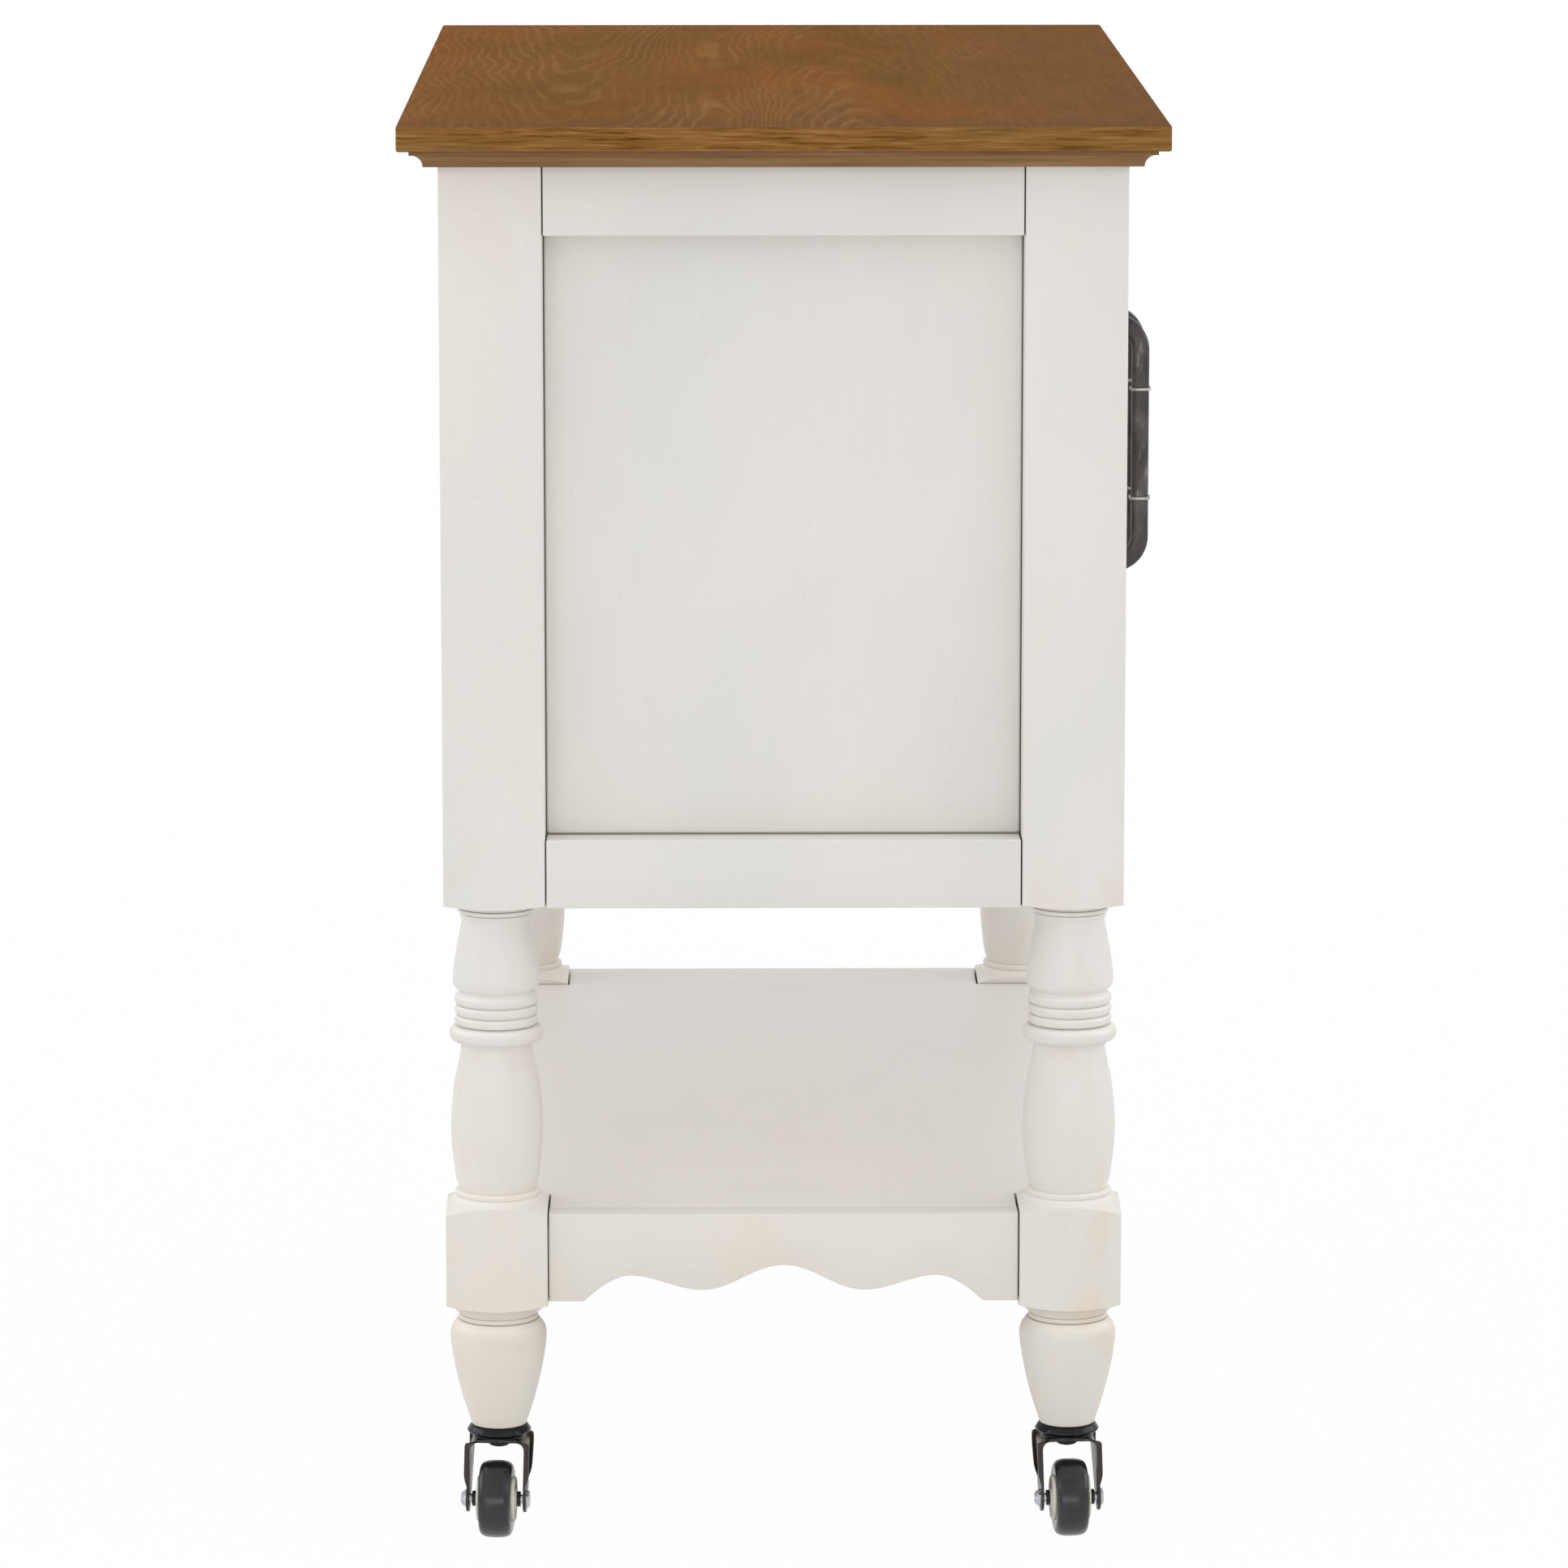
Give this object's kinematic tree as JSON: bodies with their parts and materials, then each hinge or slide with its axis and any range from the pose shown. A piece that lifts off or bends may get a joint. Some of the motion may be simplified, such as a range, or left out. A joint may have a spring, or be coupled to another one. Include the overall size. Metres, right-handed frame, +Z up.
{
  "type": "kitchen cart",
  "caption": "Rolling kitchen cart with an oak worktop, painted turned legs, a cabinet with paired doors, and an open lower shelf with scalloped aprons.",
  "frame": {"origin": "on the floor under the middle of the whole cart, pulls included", "axes": "+Z up; the doors face -Y and the long side runs along X; the left door and left casters are on the -X side, as seen from the front"},
  "size_m": [0.864, 0.4948, 0.9144],
  "materials": {
    "oak": "satin",
    "moulding_oak": "satin",
    "painted_wood": "satin",
    "dark_iron": "satin",
    "bright_iron": "worn",
    "zinc": "satin",
    "black_steel": "satin",
    "tyre_rubber": "matte",
    "hub_plastic": "matte",
    "catch_plastic": "matte",
    "pivot_steel": "satin"
  },
  "bodies": {
    "cabinet": {"apron_back": "painted_wood", "apron_front": "painted_wood", "apron_left": "painted_wood", "apron_right": "painted_wood", "back_panel": "painted_wood", "back_rails": "painted_wood", "cabinet_floor": "painted_wood", "cabinet_shelf": "painted_wood", "caster_stems": "black_steel", "door_catch": "catch_plastic", "door_pivots": "pivot_steel", "end_panel_left": "painted_wood", "end_panel_right": "painted_wood", "end_rails_left": "painted_wood", "end_rails_right": "painted_wood", "front_rails": "painted_wood", "leg_back_left": "painted_wood", "leg_back_right": "painted_wood", "leg_front_left": "painted_wood", "leg_front_right": "painted_wood", "lower_shelf": "painted_wood", "shelf_cleats": "painted_wood", "shelf_pins": "zinc", "top_mouldings": "moulding_oak", "worktop": "oak", "worktop_cleats": "painted_wood"},
    "door_left": {"door_left_bushes": "pivot_steel", "door_left_panel": "painted_wood", "door_left_pull": "dark_iron", "door_left_pull_bands": "bright_iron", "door_left_pull_screws": "zinc", "door_left_rails": "painted_wood", "door_left_stiles": "painted_wood", "door_left_strike": "zinc"},
    "door_right": {"door_right_bushes": "pivot_steel", "door_right_panel": "painted_wood", "door_right_pull": "dark_iron", "door_right_pull_bands": "bright_iron", "door_right_pull_screws": "zinc", "door_right_rails": "painted_wood", "door_right_stiles": "painted_wood", "door_right_strike": "zinc"},
    "caster_front_left_swivel": {"caster_front_left_axle": "zinc", "caster_front_left_fork": "black_steel"},
    "caster_front_left_wheel": {"caster_front_left_hub": "hub_plastic", "caster_front_left_tyre": "tyre_rubber"},
    "caster_back_left_swivel": {"caster_back_left_axle": "zinc", "caster_back_left_fork": "black_steel"},
    "caster_back_left_wheel": {"caster_back_left_hub": "hub_plastic", "caster_back_left_tyre": "tyre_rubber"},
    "caster_front_right_swivel": {"caster_front_right_axle": "zinc", "caster_front_right_fork": "black_steel"},
    "caster_front_right_wheel": {"caster_front_right_hub": "hub_plastic", "caster_front_right_tyre": "tyre_rubber"},
    "caster_back_right_swivel": {"caster_back_right_axle": "zinc", "caster_back_right_fork": "black_steel"},
    "caster_back_right_wheel": {"caster_back_right_hub": "hub_plastic", "caster_back_right_tyre": "tyre_rubber"}
  },
  "joints": [
    {"name": "door_left_hinge", "type": "hinge", "parent": "cabinet", "child": "door_left", "pos_m": [-0.3355, -0.2045, 0.6515], "axis": [0, 0, -1], "range_deg": [0, 100]},
    {"name": "door_right_hinge", "type": "hinge", "parent": "cabinet", "child": "door_right", "pos_m": [0.3355, -0.2045, 0.6515], "axis": [0, 0, 1], "range_deg": [0, 100]},
    {"name": "caster_front_left_turn", "type": "hinge", "parent": "cabinet", "child": "caster_front_left_swivel", "pos_m": [-0.3745, -0.1777, 0.06], "axis": [0, 0, 1], "continuous": true},
    {"name": "caster_front_left_roll", "type": "hinge", "parent": "caster_front_left_swivel", "child": "caster_front_left_wheel", "pos_m": [-0.39445, -0.1791, 0.025], "axis": [-0.0698, 0.9976, 0], "continuous": true},
    {"name": "caster_back_left_turn", "type": "hinge", "parent": "cabinet", "child": "caster_back_left_swivel", "pos_m": [-0.3745, 0.1899, 0.06], "axis": [0, 0, 1], "continuous": true},
    {"name": "caster_back_left_roll", "type": "hinge", "parent": "caster_back_left_swivel", "child": "caster_back_left_wheel", "pos_m": [-0.39445, 0.1913, 0.025], "axis": [0.0698, 0.9976, 0], "continuous": true},
    {"name": "caster_front_right_turn", "type": "hinge", "parent": "cabinet", "child": "caster_front_right_swivel", "pos_m": [0.3745, -0.1777, 0.06], "axis": [0, 0, 1], "continuous": true},
    {"name": "caster_front_right_roll", "type": "hinge", "parent": "caster_front_right_swivel", "child": "caster_front_right_wheel", "pos_m": [0.35465, -0.18014, 0.025], "axis": [-0.1219, 0.9925, 0], "continuous": true},
    {"name": "caster_back_right_turn", "type": "hinge", "parent": "cabinet", "child": "caster_back_right_swivel", "pos_m": [0.3745, 0.1899, 0.06], "axis": [0, 0, 1], "continuous": true},
    {"name": "caster_back_right_roll", "type": "hinge", "parent": "caster_back_right_swivel", "child": "caster_back_right_wheel", "pos_m": [0.35461, 0.19199, 0.025], "axis": [0.1045, 0.9945, 0], "continuous": true}
  ]
}
